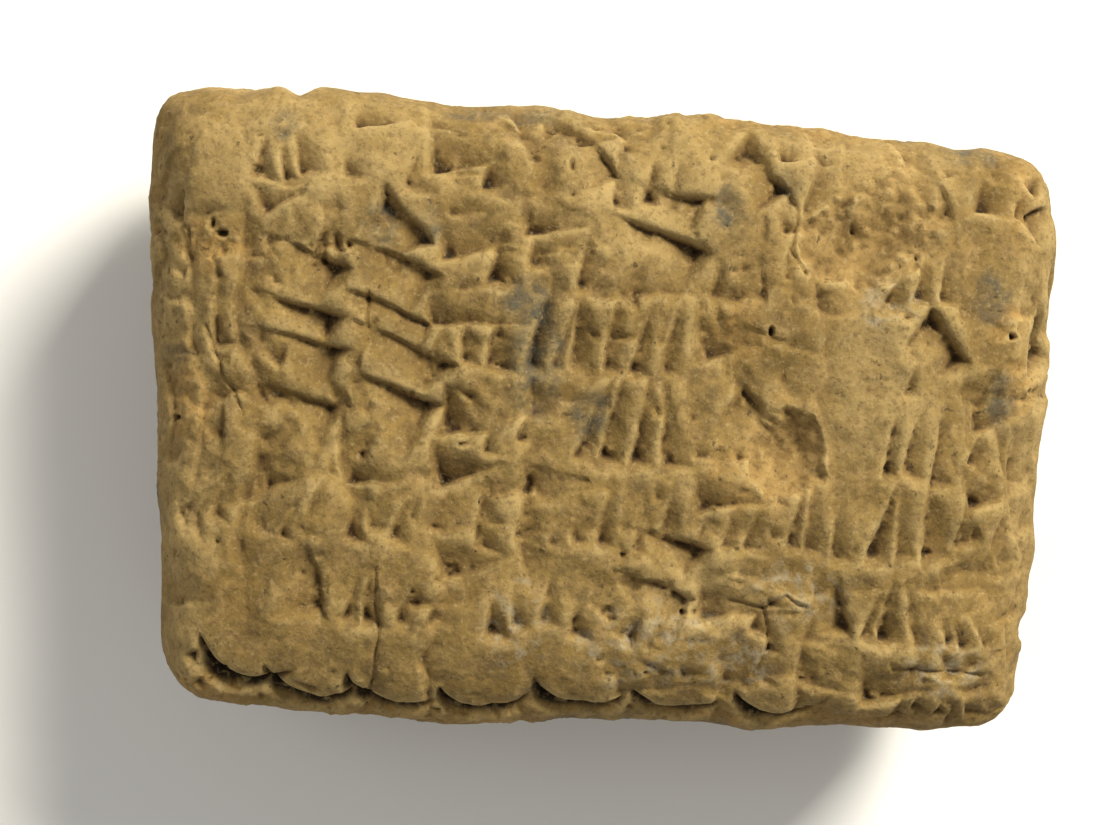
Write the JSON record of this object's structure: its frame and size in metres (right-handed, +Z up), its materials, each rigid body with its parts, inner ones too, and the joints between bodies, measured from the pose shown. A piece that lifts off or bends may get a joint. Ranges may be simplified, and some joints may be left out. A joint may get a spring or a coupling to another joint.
{
  "type": "cuneiform tablet",
  "caption": "Palm-sized slab of dried clay with rounded edges, its face and edges covered in rows of pressed wedge strokes.",
  "frame": {"origin": "middle of the underside, where the tablet lies on its reverse", "axes": "+X to the right of the written face along its longer side, +Y to its far edge, +Z up out of the written face"},
  "size_m": [0.0452, 0.0326, 0.0149],
  "materials": {
    "clay": "matte"
  },
  "bodies": {
    "root": {"tablet": "clay"}
  },
  "joints": []
}
